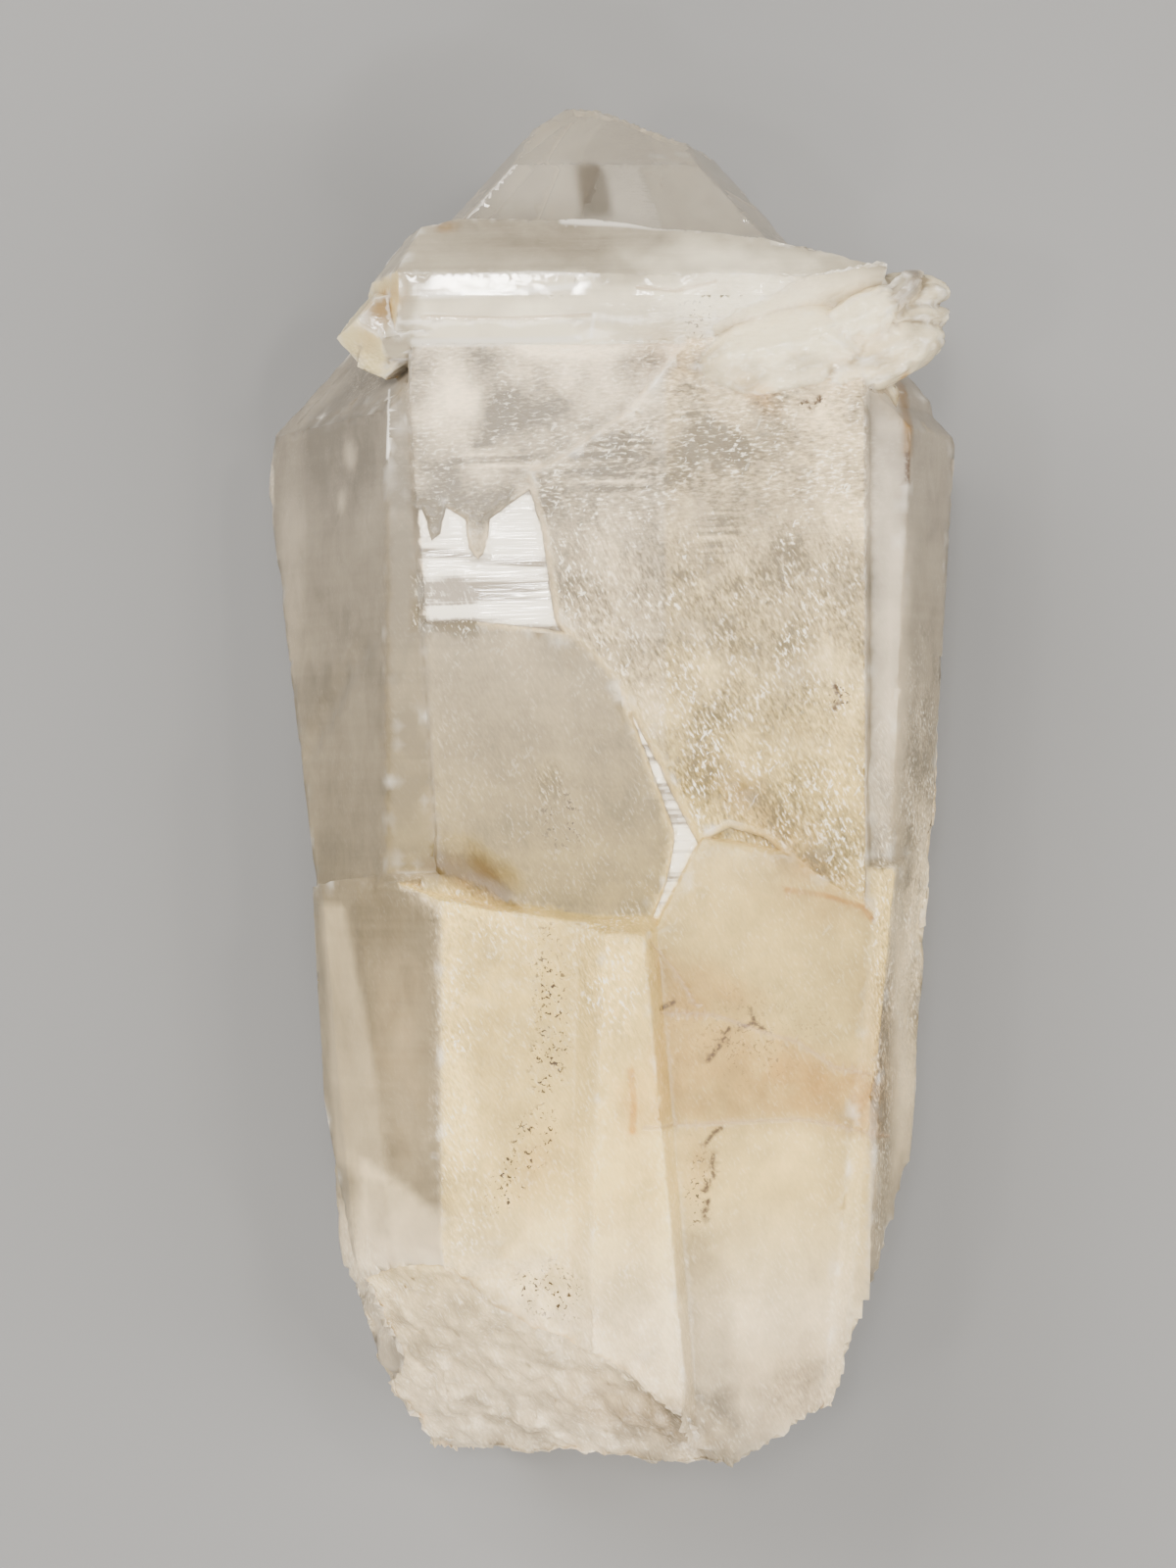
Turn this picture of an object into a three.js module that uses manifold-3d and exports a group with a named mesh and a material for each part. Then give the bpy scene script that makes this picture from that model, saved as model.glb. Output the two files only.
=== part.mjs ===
// A raw quartz chunk about 19 cm long, lying on one of its long prism faces.
// It is a bundle of milky crystals that grew side by side with their c axes parallel, one clear
// tip behind them, a crystal that grew across the top, and a broken foot where it was snapped off.
// Millimetres. +Z is up, +Y runs along the c axis to the tip, and +X is to the right seen from above.
import * as THREE from "three";
import { mergeVertices } from "three/addons/utils/BufferGeometryUtils.js";
import Module from "manifold-3d";

// Driving dimensions
const FRONT = 54; // height of the main prism face above the face that it lies on
const POINT = 38.2; // lean of quartz's point faces from the c axis, in degrees
const SMOOTH = 0.8; // thickness of the smooth growth layer on the main prism face
const ROUGH = 1.2; // thickness of the rough growth layer beside it
const KEEL = 24; // slope of each side of a leaf-shaped crystal's keel, in degrees
const BLOCK = 260; // side of a rough block larger than any crystal here
const CENTRE = [0.3, 1.5, 0]; // brings the middle of the footprint to the origin

const wasm = await Module();
wasm.setup();

// A closed mesh as a solid.
function solidOf(geometry) {
  const bare = geometry.clone();
  bare.deleteAttribute("normal");
  bare.deleteAttribute("uv");
  const merged = mergeVertices(bare, 1e-4);
  return new wasm.Manifold(
    new wasm.Mesh({
      numProp: 3,
      vertProperties: merged.attributes.position.array,
      triVerts: new Uint32Array(merged.index.array),
    }),
  );
}

// A direction that is turned about the c axis, from +Z towards +X, and pitched up to the tip.
function direction(turn, pitch) {
  const t = THREE.MathUtils.degToRad(turn);
  const p = THREE.MathUtils.degToRad(pitch);
  return new THREE.Vector3(
    Math.sin(t) * Math.cos(p),
    Math.sin(p),
    Math.cos(t) * Math.cos(p),
  );
}

// One flat crystal face: the way it looks, and a point that it passes through.
const face = (turn, pitch, x, y, z) => ({
  outward: direction(turn, pitch),
  through: new THREE.Vector3(x, y, z),
});

// A crystal is the block that is left inside all of its faces.
function crystal(...faces) {
  let solid = solidOf(new THREE.BoxGeometry(BLOCK, BLOCK, BLOCK));
  for (const { outward, through } of faces) {
    const inward = outward.clone().negate();
    solid = solid.trimByPlane(inward.toArray(), inward.dot(through));
  }
  return solid;
}

// The main crystal, whose broad prism face looks up
function mainCrystal() {
  return crystal(
    face(0, 0, 0, 0, FRONT),
    face(16, 0, 34, 0, FRONT),
    face(60, -2, 38.4, 27, FRONT - 1.3),
    face(120, -4.5, 39.4, -25, 38),
    face(180, 0, 0, 0, 0),
    face(240, -3.1, -40.1, -16.4, 26),
    face(300, -3.1, -40.1, -16.4, 26),
    face(0, POINT, 0, 62, FRONT),
    face(60, POINT, 43, 53, 38),
    face(120, POINT, 43, 50, 38),
    face(180, POINT, 0, 48, 0),
    face(240, POINT, -35.7, 58, 27),
    face(300, POINT, -35.7, 60, 27),
    face(0, -90, 0, -99, 0),
  );
}

// The clear tip, whose prism face is lower than that of the main crystal
function clearTip() {
  return crystal(
    face(0, 0, 0, 0, 46),
    face(60, 0, 27, 0, 38),
    face(120, 0, 27, 0, 38),
    face(180, 0, 0, 0, 9),
    face(240, 0, -24, 0, 41.5),
    face(300, 0, -24, 0, 41.5),
    face(0, POINT, 0, 83.3, 46),
    face(60, POINT, 23.6, 75.5, 38),
    face(120, POINT, 23.6, 75.5, 38),
    face(180, POINT, 0, 70, 9),
    face(240, POINT, -20.8, 77, 41.5),
    face(300, POINT, -20.8, 77, 41.5),
    face(0, 90, 0, 92.6, 0),
    face(0, -90, 0, 20, 0),
  );
}

// The long crystal on the left, a little proud of the main face
function leftCrystal() {
  return crystal(
    face(0, 0, 0, 0, FRONT + 1.5),
    face(62, 3.4, -24.6, 26.6, FRONT + 1.5),
    face(300, 0, -28.4, 0, FRONT + 1.5),
    face(240, -5, -47.7, 42, 23),
    face(240, -14, -41, -6.6, 36),
    face(264, 11, -47.7, 42, 23),
    face(240, POINT, -43, 53.6, 24),
    face(300, POINT, -43, 53.6, 24),
    face(180, POINT, 0, 40, 7),
    face(120, POINT, -15, 52, 20),
    face(180, 0, 0, 0, 7),
    face(120, 0, -12, 0, 16),
    face(0, 56, 0, 59.5, FRONT),
    face(0, -50, 0, -10, FRONT + 1.5),
    face(0, -90, 0, -40, 0),
  );
}

// The crystal behind the right edge, whose lower end is broken
function rightCrystal() {
  const whole = crystal(
    face(0, 0, 0, 0, FRONT - 3),
    face(60, -1.3, 38.9, 27, FRONT - 3),
    face(60, -1.3, 45.5, 44, 40),
    face(120, -1.3, 45.5, 44, 40),
    face(60, 10.5, 45.5, 43, 40),
    face(120, 10.5, 45.5, 43, 40),
    face(60, POINT, 44, 52.2, 40),
    face(120, POINT, 44, 52.2, 40),
    face(0, POINT, 0, 50, FRONT - 3),
    face(180, POINT, 0, 36, 13),
    face(180, 0, 0, 0, 13),
    face(270, 0, 16, 0, 0),
    face(0, -90, 0, -48, 0),
  );
  return whole.subtract(
    breakage({
      at: [41, -13, 44],
      turn: 74,
      pitch: -23,
      size: [110, 110],
      cell: 2.6,
      relief: 1.3,
      seed: 31,
    }),
  );
}

// The lower left crystal, whose left side steps down in four strips
function lowerLeftCrystal() {
  return crystal(
    face(0, -0.6, 0, -30, FRONT + 3),
    face(330, -0.5, -21.5, -30, FRONT + 3),
    face(311, -2.5, -30.5, -30, FRONT - 2),
    face(293, -4, -36.4, -30, FRONT - 9),
    face(262, -2.5, -38.9, -30, FRONT - 14),
    face(240, -4, -38.9, -30, 24),
    face(60, 0, 1, -20, FRONT + 3),
    face(180, 0, 0, 0, 10),
    face(262, -15, -38.4, -41.3, 40),
    face(180, 82, -28, -10.7, FRONT - 2),
    face(20, 66, -12.7, -15.1, FRONT + 3),
    face(0, -90, 0, -99, 0),
  );
}

// The ridge beside it, which leans to the right towards the foot
function ridgeCrystal() {
  return crystal(
    face(0, -1, 0, -30, FRONT + 4.4),
    face(335, 0, -1, -30, FRONT + 4.4),
    face(62, 4.2, 5.2, -25, FRONT + 4.4),
    face(310, 0, -8, -30, FRONT),
    face(180, 0, 0, 0, 30),
    face(0, 60, 0, -17.6, FRONT + 4),
    face(48, 40, 5.4, -18.6, FRONT + 4),
    face(0, -90, 0, -99, 0),
  );
}

// The smooth crystal on the lower right
function lowerRightCrystal() {
  return crystal(
    face(0, 0, 0, 0, FRONT + 1.1),
    face(30, -3, 32, -40, FRONT + 1.1),
    face(66, -5, 34.6, -40, FRONT - 0.6),
    face(116, -7, 38.8, -40, 38),
    face(180, 0, 0, 0, 12),
    face(298, 0, 3, -40, FRONT + 1.1),
    face(297, 25, 11.8, -6.8, FRONT + 1.1),
    face(20, 64, 22, -7.5, FRONT + 1.1),
    face(0, -90, 0, -99, 0),
  );
}

// Two crystals on the underside, so that the far side isn't one plain prism
function underLeftCrystal() {
  return crystal(
    face(180, 0, 0, 0, 3.4),
    face(240, -4, -37.6, -30, 18),
    face(300, -4, -38.6, -30, 20),
    face(0, 0, 0, 0, 30),
    face(90, 0, 0, 0, 0),
    face(180, POINT, 0, 31, 3.4),
    face(240, POINT, -40, 33, 19),
    face(300, POINT, -40, 33, 19),
    face(0, -90, 0, -99, 0),
  );
}

function underRightCrystal() {
  return crystal(
    face(180, 0, 0, 0, 5.2),
    face(120, -5, 36, -30, 24),
    face(60, -5, 39, -30, 30),
    face(0, 0, 0, 0, 50),
    face(270, 0, 0, 0, 0),
    face(180, POINT, 0, 8, 5.2),
    face(120, POINT, 36, 12, 24),
    face(60, POINT, 36, 14, 24),
    face(0, -90, 0, -99, 0),
  );
}

// The crystal that grew across the top: drawn standing along +Y, then laid down to point left
function crossCrystal() {
  return crystal(
    face(42, 0, 66.8, 0, FRONT + 5),
    face(-5, 0, 66.8, 0, FRONT + 5),
    face(-24, 0, 63.8, 0, FRONT + 4.7),
    face(-46, 0, 60.8, 0, FRONT + 3.4),
    face(-58, -17, 60.2, -13, FRONT + 3.4),
    face(98, 0, 75.1, 0, 51),
    face(90, -6.3, 75.1, 1.3, 51),
    face(90, -15, 69.8, -31, 51),
    face(-90, 0, 58.1, 0, 0),
    face(138, 0, 74.5, 0, 44),
    face(222, 0, 58.1, 0, 34),
    face(180, -48, 66, -36.4, 45),
    face(62, 48, 68, 27.2, FRONT + 3),
    face(110, 52, 71.9, 27.6, 50),
    face(90, 15, 75.1, 20, 51),
    face(-10, 66, 66, 30, 52),
    face(180, POINT, 66, 29, 46),
    face(0, -90, 0, -36.4, 0),
  ).rotate([0, 0, 90]);
}

// A small six-sided crystal with a point, from its root at `at` along `lean` degrees from +Y
// towards +X.
function smallCrystal({ at, radius, length, lean, turn }) {
  const faces = [face(0, -90, 0, 0, 0)];
  for (let side = 0; side < 6; side++) {
    const out = direction(turn + 60 * side, 0).multiplyScalar(radius);
    const reach = length - (side % 2) * radius * 0.5;
    faces.push(face(turn + 60 * side, 0, out.x, 0, out.z));
    faces.push(face(turn + 60 * side, POINT, 0, reach, 0));
  }
  return crystal(...faces)
    .rotate([0, 0, -lean])
    .translate(at);
}

const smallCrystals = [
  { at: [-24, 61.5, 51], radius: 4.9, length: 14.4, lean: -100, turn: 12 },
  { at: [-26, 59.5, 50.5], radius: 3.4, length: 9.6, lean: -118, turn: 40 },
  { at: [32.2, 59.6, 53.6], radius: 2, length: 13.4, lean: 47, turn: 20 },
];

// The leaf-shaped crystals that fan out at the right end of the cross crystal, rounded at the
// sides and with a blunt keel along the top
const lobes = [
  { at: [23, 57.8, 50.6], size: [12.6, 6.2, 8.4], lean: 12 },
  { at: [32.6, 61.6, 52], size: [7.6, 3.4, 6], lean: 30 },
  { at: [35, 56.8, 51], size: [9.8, 3.9, 6], lean: 22 },
  { at: [37.6, 61.4, 50], size: [7.8, 3.2, 5.6], lean: 12 },
  { at: [38.4, 65.2, 50], size: [6.2, 3, 5], lean: 4 },
];

function lobe({ at, size, lean }) {
  const geometry = new THREE.SphereGeometry(1, 20, 12);
  const position = geometry.attributes.position;
  const corner = new THREE.Vector3();
  for (let i = 0; i < position.count; i++) {
    corner.fromBufferAttribute(position, i);
    const swell = 1 + 0.14 * unevenness(corner.x * 1.6 + corner.z, corner.y * 1.6, size[0]);
    position.setXYZ(i, corner.x * swell, corner.y * swell, corner.z * swell);
  }
  geometry.scale(...size);
  const slope = THREE.MathUtils.degToRad(KEEL);
  let leaf = solidOf(geometry);
  for (const side of [-1, 1]) {
    const inward = [0, side * Math.sin(slope), -Math.cos(slope)];
    leaf = leaf.trimByPlane(inward, -0.84 * size[2] * Math.cos(slope));
  }
  return leaf.rotate([0, 0, lean]).translate(at);
}

// Growth layers on the main face. Between them the first prism face still shows.
const frostedOutline = [
  [-25.8, 60], [13, 60], [5.4, 49], [-6.4, 40.8], [-10.2, 39.4], [-12.8, 37.5],
  [-15.3, 35.6], [-15.7, 31.8], [-16.8, 30.3], [-18.1, 31.8], [-18.6, 35.6],
  [-21, 37.1], [-21.7, 33.7], [-22.9, 32.8], [-24.2, 36.9], [-26.5, 36],
];
const smoothOutline = [
  [-27, 22], [-19.1, 22.7], [-7.7, 21.4], [-0.1, 20.2], [2.2, 12.8], [8.8, -5.1],
  [7.8, -11.4], [5, -18], [-23.5, -18], [-24.5, -9], [-27, -6],
];
const roughOutline = [
  [-10.9, 42], [-8.6, 33.7], [-6.9, 21.9], [-2.6, 18.1], [1.8, 12.9], [11.6, -6.6],
  [15.8, -4.4], [20.3, -5.7], [26.6, -11.4], [34, -15.5], [34, 60],
  [10.1, 60], [2.5, 50.2], [-7.7, 43.2],
];

// A thin growth layer with a bevelled rim.
function layer(outline, thickness, bevel) {
  const shape = new THREE.Shape(outline.map(([x, y]) => new THREE.Vector2(x, y)));
  const sunk = 2;
  const geometry = new THREE.ExtrudeGeometry(shape, {
    depth: thickness + sunk - bevel,
    bevelEnabled: true,
    bevelThickness: bevel,
    bevelSize: bevel,
    bevelOffset: -bevel,
    bevelSegments: 1,
  });
  geometry.translate(0, 0, FRONT - sunk);
  return solidOf(geometry);
}

// A repeatable value between -1 and 1 for a corner of a grid.
function cornerValue(column, row, seed) {
  const h = Math.sin(column * 127.1 + row * 311.7 + seed * 74.7) * 43758.5453;
  return (h - Math.floor(h)) * 2 - 1;
}

// Smooth unevenness between the grid's corners.
function unevenness(x, y, seed) {
  const column = Math.floor(x);
  const row = Math.floor(y);
  const u = THREE.MathUtils.smoothstep(x - column, 0, 1);
  const v = THREE.MathUtils.smoothstep(y - row, 0, 1);
  const low = THREE.MathUtils.lerp(
    cornerValue(column, row, seed),
    cornerValue(column + 1, row, seed),
    u,
  );
  const high = THREE.MathUtils.lerp(
    cornerValue(column, row + 1, seed),
    cornerValue(column + 1, row + 1, seed),
    u,
  );
  return THREE.MathUtils.lerp(low, high, v);
}

// The height of a broken quartz surface: broad hollows, hackly steps and small chips.
function brokenHeight(x, y, relief, seed) {
  const hollows = unevenness(x / 26, y / 26, seed);
  const steps = Math.abs(unevenness(x / 11, y / 15, seed + 7)) - 0.4;
  const chips = unevenness(x / 4.5, y / 4.5, seed + 13);
  return relief * (hollows + 0.9 * steps + 0.3 * chips);
}

// What is broken away beyond a rough surface: subtract it from the crystal.
function breakage({ at, turn, pitch, size, cell, relief, seed }) {
  const [width, height] = size;
  const depth = 80;
  const geometry = new THREE.BoxGeometry(
    width,
    height,
    depth,
    Math.round(width / cell),
    Math.round(height / cell),
    1,
  );
  geometry.translate(0, 0, depth / 2);
  const position = geometry.attributes.position;
  for (let i = 0; i < position.count; i++) {
    if (position.getZ(i) > depth / 2) continue;
    const x = position.getX(i);
    const y = position.getY(i);
    position.setZ(i, brokenHeight(x, y, relief, seed));
  }
  const turned = new THREE.Matrix4().lookAt(
    direction(turn, pitch),
    new THREE.Vector3(),
    new THREE.Vector3(0.1, 1, 0.05),
  );
  geometry.applyMatrix4(turned);
  geometry.translate(...at);
  return solidOf(geometry);
}

// Where the chunk was snapped off at the foot and knocked at its edges
const breakages = [
  { at: [-4, -92, 28], turn: 8, pitch: -84, size: [120, 110], cell: 3.4, relief: 1.4, seed: 3 },
  { at: [-5, -72, 57], turn: 331, pitch: -37, size: [100, 80], cell: 3.2, relief: 1.3, seed: 11 },
  { at: [34, -71, 35], turn: 86, pitch: -19, size: [90, 90], cell: 3.4, relief: 0.8, seed: 23 },
  { at: [24, -85, 35], turn: 78, pitch: -57, size: [90, 90], cell: 3.4, relief: 1, seed: 29 },
  { at: [-31, -78, 30], turn: 262, pitch: -26.7, size: [90, 90], cell: 6, relief: 0.4, seed: 53 },
  { at: [6, 89.4, 38], turn: 84, pitch: 66, size: [90, 110], cell: 2.8, relief: 0.5, seed: 41 },
];

// Fills the gaps that the crystals enclose between them.
function outerSkin(solid) {
  const skins = solid.decompose();
  return skins.reduce((outer, skin) => (skin.volume() > outer.volume() ? skin : outer));
}

function chunk() {
  const grown = [
    clearTip(),
    leftCrystal(),
    rightCrystal(),
    lowerLeftCrystal(),
    ridgeCrystal(),
    lowerRightCrystal(),
    underLeftCrystal(),
    underRightCrystal(),
    crossCrystal(),
    layer(frostedOutline, 0.5, 0.4),
    layer(smoothOutline, SMOOTH, 0.5),
    layer(roughOutline, ROUGH, 0.9),
    ...smallCrystals.map(smallCrystal),
    ...lobes.map(lobe),
  ];
  let solid = mainCrystal();
  for (const part of grown) solid = solid.add(part);
  for (const part of breakages) solid = solid.subtract(breakage(part));
  return outerSkin(solid).translate(CENTRE);
}

function meshOf(solid, name, material) {
  const { numProp, vertProperties, triVerts } = solid.getMesh();
  const corners = new Float32Array((vertProperties.length / numProp) * 3);
  for (let i = 0; i < corners.length / 3; i++) {
    corners.set(vertProperties.subarray(i * numProp, i * numProp + 3), i * 3);
  }
  const geometry = new THREE.BufferGeometry();
  geometry.setAttribute("position", new THREE.BufferAttribute(corners, 3));
  geometry.setIndex(new THREE.BufferAttribute(triVerts, 1));
  geometry.computeVertexNormals();
  const mesh = new THREE.Mesh(geometry, material);
  mesh.name = name;
  return mesh;
}

const milkyQuartz = new THREE.MeshStandardMaterial({
  color: 0xd2c8b8,
  roughness: 0.22,
  metalness: 0,
  transparent: true,
  opacity: 0.85,
});

const group = new THREE.Group();
group.add(meshOf(chunk(), "quartz_chunk", milkyQuartz));

export default group;
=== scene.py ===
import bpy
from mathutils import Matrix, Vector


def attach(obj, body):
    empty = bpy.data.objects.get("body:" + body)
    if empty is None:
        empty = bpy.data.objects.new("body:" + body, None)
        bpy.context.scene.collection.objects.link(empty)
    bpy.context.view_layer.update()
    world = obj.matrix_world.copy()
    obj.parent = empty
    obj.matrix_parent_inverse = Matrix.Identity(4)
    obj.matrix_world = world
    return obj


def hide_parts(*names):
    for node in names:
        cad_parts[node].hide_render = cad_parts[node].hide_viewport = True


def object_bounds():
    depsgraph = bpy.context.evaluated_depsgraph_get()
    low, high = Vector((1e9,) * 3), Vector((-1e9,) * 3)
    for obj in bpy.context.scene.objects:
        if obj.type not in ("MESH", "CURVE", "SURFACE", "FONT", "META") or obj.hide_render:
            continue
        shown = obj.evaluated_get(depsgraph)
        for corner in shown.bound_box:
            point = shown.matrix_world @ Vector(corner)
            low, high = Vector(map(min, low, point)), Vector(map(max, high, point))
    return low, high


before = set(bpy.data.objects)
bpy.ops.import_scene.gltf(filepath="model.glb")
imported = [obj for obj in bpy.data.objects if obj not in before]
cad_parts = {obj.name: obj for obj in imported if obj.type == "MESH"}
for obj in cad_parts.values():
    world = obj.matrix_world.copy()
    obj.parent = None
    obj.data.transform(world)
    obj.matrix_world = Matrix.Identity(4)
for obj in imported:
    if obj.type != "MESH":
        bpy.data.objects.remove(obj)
cad_box = [list(corner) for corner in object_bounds()]

import math

import bmesh
import bpy
import numpy as np
from mathutils import Vector, noise

# The quartz chunk: one bundle of crystals grown into each other, with flat prism and point
# faces. Its solid is copied and joined up in millimetres, and each face gets the name of the
# surface that it belongs to, so that each can have its own relief and finish.
MM = 0.001
SHIFT = Vector((0.3, 1.5, 0))
BREAKS = [
    ((-4, -92, 28), 8, -84),
    ((-5, -72, 57), 331, -37),
    ((34, -71, 35), 86, -19),
    ((24, -85, 35), 78, -57),
    ((-31, -78, 30), 262, -26.7),
    ((41, -13, 44), 74, -23),
    ((6, 89.4, 38), 84, 66),
]
SURFACES = [
    "side", "window", "frosted", "smooth", "rough", "ledge", "ridge", "slab", "strip",
    "step", "broken", "tip", "cross", "knob", "lobe",
]
KEEL_RISE = math.cos(math.radians(24))


def direction(turn, pitch):
    t, p = math.radians(turn), math.radians(pitch)
    return Vector((math.sin(t) * math.cos(p), math.sin(p), math.cos(t) * math.cos(p)))


def is_broken(centre, normal):
    for at, turn, pitch in BREAKS:
        outward = direction(turn, pitch)
        depth = (centre - Vector(at) - SHIFT).dot(outward)
        if abs(depth) < 4 and normal.dot(outward) > 0.75:
            return True
    return False


def surface_of(centre, normal, area):
    x, y, z = centre
    if area < 60 and is_broken(centre, normal):
        return "broken"
    if y > 77.5 or (y > 74 and z < 47.2 and abs(x) < 30):
        return "tip"
    if x < -28.5 and 54 < y < 70 and z > 44:
        return "knob"
    if x > 9.5 and 50 < y < 71.5 and z > 46 and (area < 6 or abs(normal.z - KEEL_RISE) < 0.01):
        return "lobe"
    if y > 58.5 and z > 36 and x < 38 and (z > 54.5 or y > 66):
        return "cross"
    if normal.z > 0.98:
        if x < -26 and y > -40:
            return "strip"
        if abs(z - 54) < 0.12 and y > -20:
            return "window"
        if abs(z - 54.5) < 0.12:
            return "frosted"
        if abs(z - 54.8) < 0.12:
            return "smooth"
        if abs(z - 55.2) < 0.05 and y > -12:
            return "rough"
        if z > 57.8:
            return "ridge"
        return "ledge" if z > 56 else "slab"
    if normal.z > 0.3 and z > 52.5 and -84 < y < 60 and -20 < x < 33:
        return "step"
    return "side"


chunk_mesh = bpy.data.meshes.new("quartz")
chunk = bpy.data.objects.new("quartz", chunk_mesh)
bpy.context.collection.objects.link(chunk)

stone = bmesh.new()
stone.from_mesh(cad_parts["quartz_chunk"].data)
bmesh.ops.remove_doubles(stone, verts=stone.verts, dist=2e-6)
bmesh.ops.scale(stone, vec=(1000, 1000, 1000), verts=stone.verts)
bmesh.ops.dissolve_limit(
    stone, angle_limit=math.radians(0.3), verts=stone.verts, edges=stone.edges
)
surface_layer = stone.faces.layers.int.new("surface")
for crystal_face in stone.faces:
    centre = crystal_face.calc_center_median()
    name = surface_of(centre, crystal_face.normal, crystal_face.calc_area())
    crystal_face[surface_layer] = SURFACES.index(name)

# Fine marks on the stone, as lines seen from above: healed cracks, brown iron dashes, orange
# rust in grooves, and bright lines of painted highlight along facet edges and nicked edges. Each has a
# kind, half a width and its points.
MARKS = [
    ("crack", 0.22, [(7.2, -26.8), (14, -27), (20.4, -29.3), (25, -30.6), (29.8, -33.9), (34.4, -34.8)]),
    ("crack", 0.2, [(4.9, -41.3), (12.1, -41.2), (25, -40.5), (29.8, -41.3), (37, -43.2)]),
    ("crack", 0.18, [(5.8, -17.6), (8.9, -21.2), (11.7, -25.8)]),
    ("rust", 0.4, [(23.4, -10.9), (28.3, -11.6), (33.2, -13.1), (34.4, -14.6)]),
    ("rust", 0.55, [(3.2, -34.1), (3.6, -38), (3.4, -41.7)]),
    ("rust", 0.7, [(39.2, 55.4), (39.4, 49.2), (39.3, 46)]),
    ("iron", 0.4, [(39.3, 46), (39.3, 42.4)]),
    ("iron", 0.3, [(7.2, -26.2), (8.8, -25.4)]),
    ("iron", 0.32, [(13.2, -33), (14.6, -31.2), (15.9, -28.9)]),
    ("iron", 0.3, [(17.4, -28.8), (19.2, -28), (20.3, -28.9)]),
    ("iron", 0.3, [(19.2, -28), (19, -27)]),
    ("iron", 0.3, [(14.9, -41.7), (13.8, -42.4), (13, -43.6)]),
    ("iron", 0.3, [(13.9, -45.2), (13.7, -46.6), (14, -48)]),
    ("iron", 0.35, [(13.3, -48.7), (12.9, -49.8)]),
    ("iron", 0.35, [(13.2, -51), (12.6, -53.2)]),
    ("iron", 0.35, [(29.6, 15.6), (30.4, 13.6), (29.6, 12.6)]),
    ("iron", 0.35, [(25.8, 52.4), (26.6, 51.4), (27.6, 52.8)]),
    # Bright lines: painted highlights where the flank edge, the cross crystal's facet edges and the tip's
    # edges catch the light.
    ("bright", 0.12, [(-28.3, 54.4), (-28.1, 50.2), (-28.3, 44.9)]),
    ("bright", 0.45, [(-5.5, 76.3), (10.5, 75.7), (23.1, 74.6)]),
    ("bright", 0.4, [(-23.6, 65.4), (-12, 65.8), (-2.3, 66.8)]),
    ("bright", 0.4, [(-24.8, 59.9), (-14, 60), (-3.5, 60.2)]),
    ("bright", 0.25, [(-22, 67.8), (-10, 68.3), (-1, 68)]),
    ("bright", 0.25, [(-1.9, 60.5), (-1.5, 63)]),
    ("bright", 0.3, [(6, 86.2), (7.8, 86)]),
    ("bright", 0.3, [(9.6, 86.5), (10.8, 86.2)]),
    ("bright", 0.2, [(14.4, 84.2), (16.4, 83.4)]),
    ("crack", 0.25, [(-23.6, 62.8), (-12, 62.6), (-2, 63)]),
    ("crack", 0.25, [(4, 66.5), (9, 66), (14, 67.2)]),
]


def to_line(points, line):
    """How far each point is from a line of straight stretches, seen from above."""
    nearest = np.full(len(points), 1e9)
    for start, end in zip(line[:-1], line[1:]):
        a, b = np.array(start), np.array(end)
        along = np.clip((points[:, :2] - a) @ (b - a) / ((b - a) @ (b - a)), 0, 1)
        gap = np.linalg.norm(points[:, :2] - a - along[:, None] * (b - a), axis=1)
        nearest = np.minimum(nearest, gap)
    return nearest


# The stone is cut into cells by an even grid, then into facets under a millimetre where growth
# lines, frosting and chips have to show, still finer along the marks.
GRID = 2.4
REACH = {"side": 1.9, "smooth": 1.4, "slab": 1.4, "strip": 1.4}
FINEST = 0.34


def allowed_length(edges, middles, lengths):
    reach = [REACH.get(surface, 1.0) for surface in SURFACES]
    allowed = np.array([min(reach[f[surface_layer]] for f in e.link_faces) for e in edges])
    allowed[middles[:, 2] < 22] *= 1.8
    high = np.flatnonzero((middles[:, 2] > 38) & (lengths > FINEST))
    for kind, half_width, line in MARKS:
        close = to_line(middles[high], line) < half_width + 0.3
        allowed[high[close]] = FINEST
    return allowed


for axis, (low, high) in enumerate(zip(*cad_box)):
    across = Vector([float(axis == number) for number in range(3)])
    for at in np.arange(low / MM + GRID / 2, high / MM, GRID):
        everything = stone.verts[:] + stone.edges[:] + stone.faces[:]
        bmesh.ops.bisect_plane(stone, geom=everything, dist=1e-4, plane_co=across * at, plane_no=across)
bmesh.ops.triangulate(stone, faces=stone.faces, quad_method="BEAUTY", ngon_method="BEAUTY")
for _ in range(24):
    stone.faces.index_update()
    edges = list(stone.edges)
    ends = np.array([(*e.verts[0].co, *e.verts[1].co) for e in edges])
    lengths = np.linalg.norm(ends[:, :3] - ends[:, 3:], axis=1)
    too_long = lengths > allowed_length(edges, (ends[:, :3] + ends[:, 3:]) / 2, lengths)
    if not too_long.any():
        break
    cut, done = [], set()
    for number in np.argsort(-lengths * too_long)[:too_long.sum()]:
        beside = {facet.index for facet in edges[number].link_faces}
        if not done & beside:
            done |= beside
            cut.append(edges[number])
    bmesh.ops.subdivide_edges(stone, edges=cut, cuts=1, use_single_edge=True)
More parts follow.
